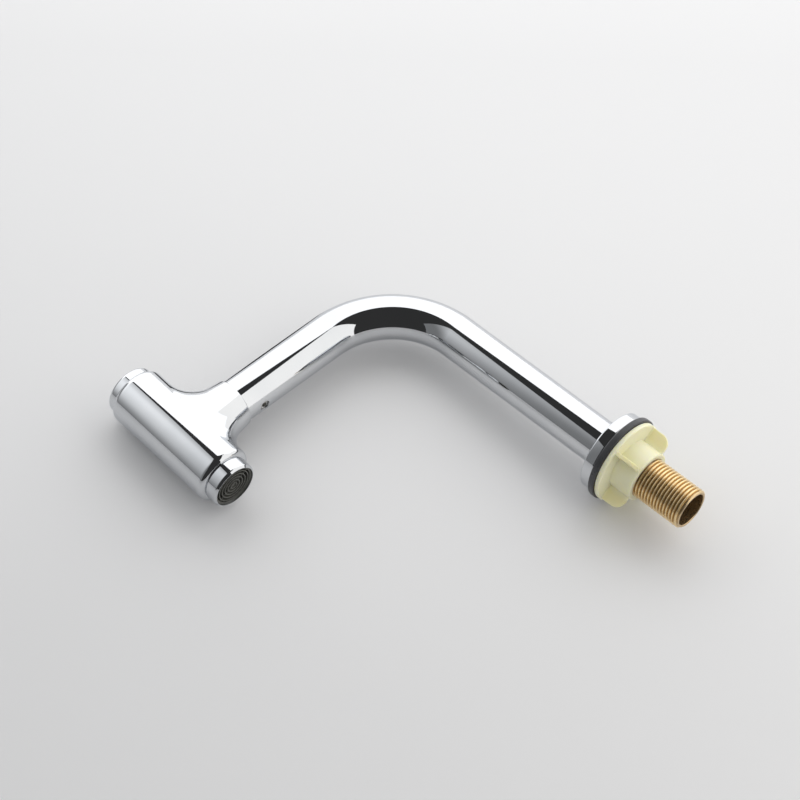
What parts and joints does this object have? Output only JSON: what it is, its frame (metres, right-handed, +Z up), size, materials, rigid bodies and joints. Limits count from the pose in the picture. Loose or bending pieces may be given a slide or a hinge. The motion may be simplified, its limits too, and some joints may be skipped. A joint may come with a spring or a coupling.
{
  "type": "basin tap",
  "caption": "Self-closing basin tap: chrome tube rising from a deck flange to a push-button head with aerator, threaded shank and wing nut below.",
  "frame": {"origin": "centre of the deck face, the gasket's underside, on the shank's axis", "axes": "+Z up the pillar, the arm reaches towards -Y, the tap is symmetric about the plane X = 0"},
  "size_m": [0.044, 0.1717, 0.2397],
  "materials": {
    "chrome": "polished plating",
    "brass": "machined",
    "ivory_plastic": "moulded satin",
    "black_rubber": "moulded satin",
    "steel": "turned",
    "grey_plastic": "moulded matte"
  },
  "bodies": {
    "root": {"spout_tube": "chrome", "base_flange": "chrome", "flange_o_ring": "black_rubber", "deck_gasket": "black_rubber", "threaded_shank": "brass", "shank_o_ring_1": "black_rubber", "shank_o_ring_2": "black_rubber", "head_body": "chrome", "branch_spigot": "brass", "spigot_o_ring_1": "black_rubber", "spigot_o_ring_2": "black_rubber", "grub_screw": "steel", "valve_sleeve": "brass", "sleeve_o_ring_1": "black_rubber", "sleeve_o_ring_2": "black_rubber", "spring_seat": "steel", "cartridge_bonnet": "brass", "bonnet_o_ring": "black_rubber", "stem_o_ring": "black_rubber", "return_spring": "steel", "aerator_housing": "chrome", "aerator_washer": "black_rubber", "aerator_core": "grey_plastic", "aerator_screen": "steel", "aerator_grid": "grey_plastic"},
    "button": {"push_button": "chrome", "valve_stem": "steel", "button_lock_nut": "steel", "spool_piston": "brass", "spool_o_ring_1": "black_rubber", "spool_o_ring_2": "black_rubber", "lip_seal": "black_rubber"},
    "nut": {"wing_nut": "ivory_plastic"}
  },
  "joints": [
    {"name": "button_press", "type": "slide", "parent": "root", "child": "button", "axis": [0, -0.0698, -0.9976], "range_m": [0, 0.004], "stiffness_N_per_m": 1500, "springref_m": -0.006, "deforming": ["return_spring"]},
    {"name": "nut_travel", "type": "slide", "parent": "root", "child": "nut", "axis": [0, 0, -1], "range_m": [0, 0.026]}
  ]
}
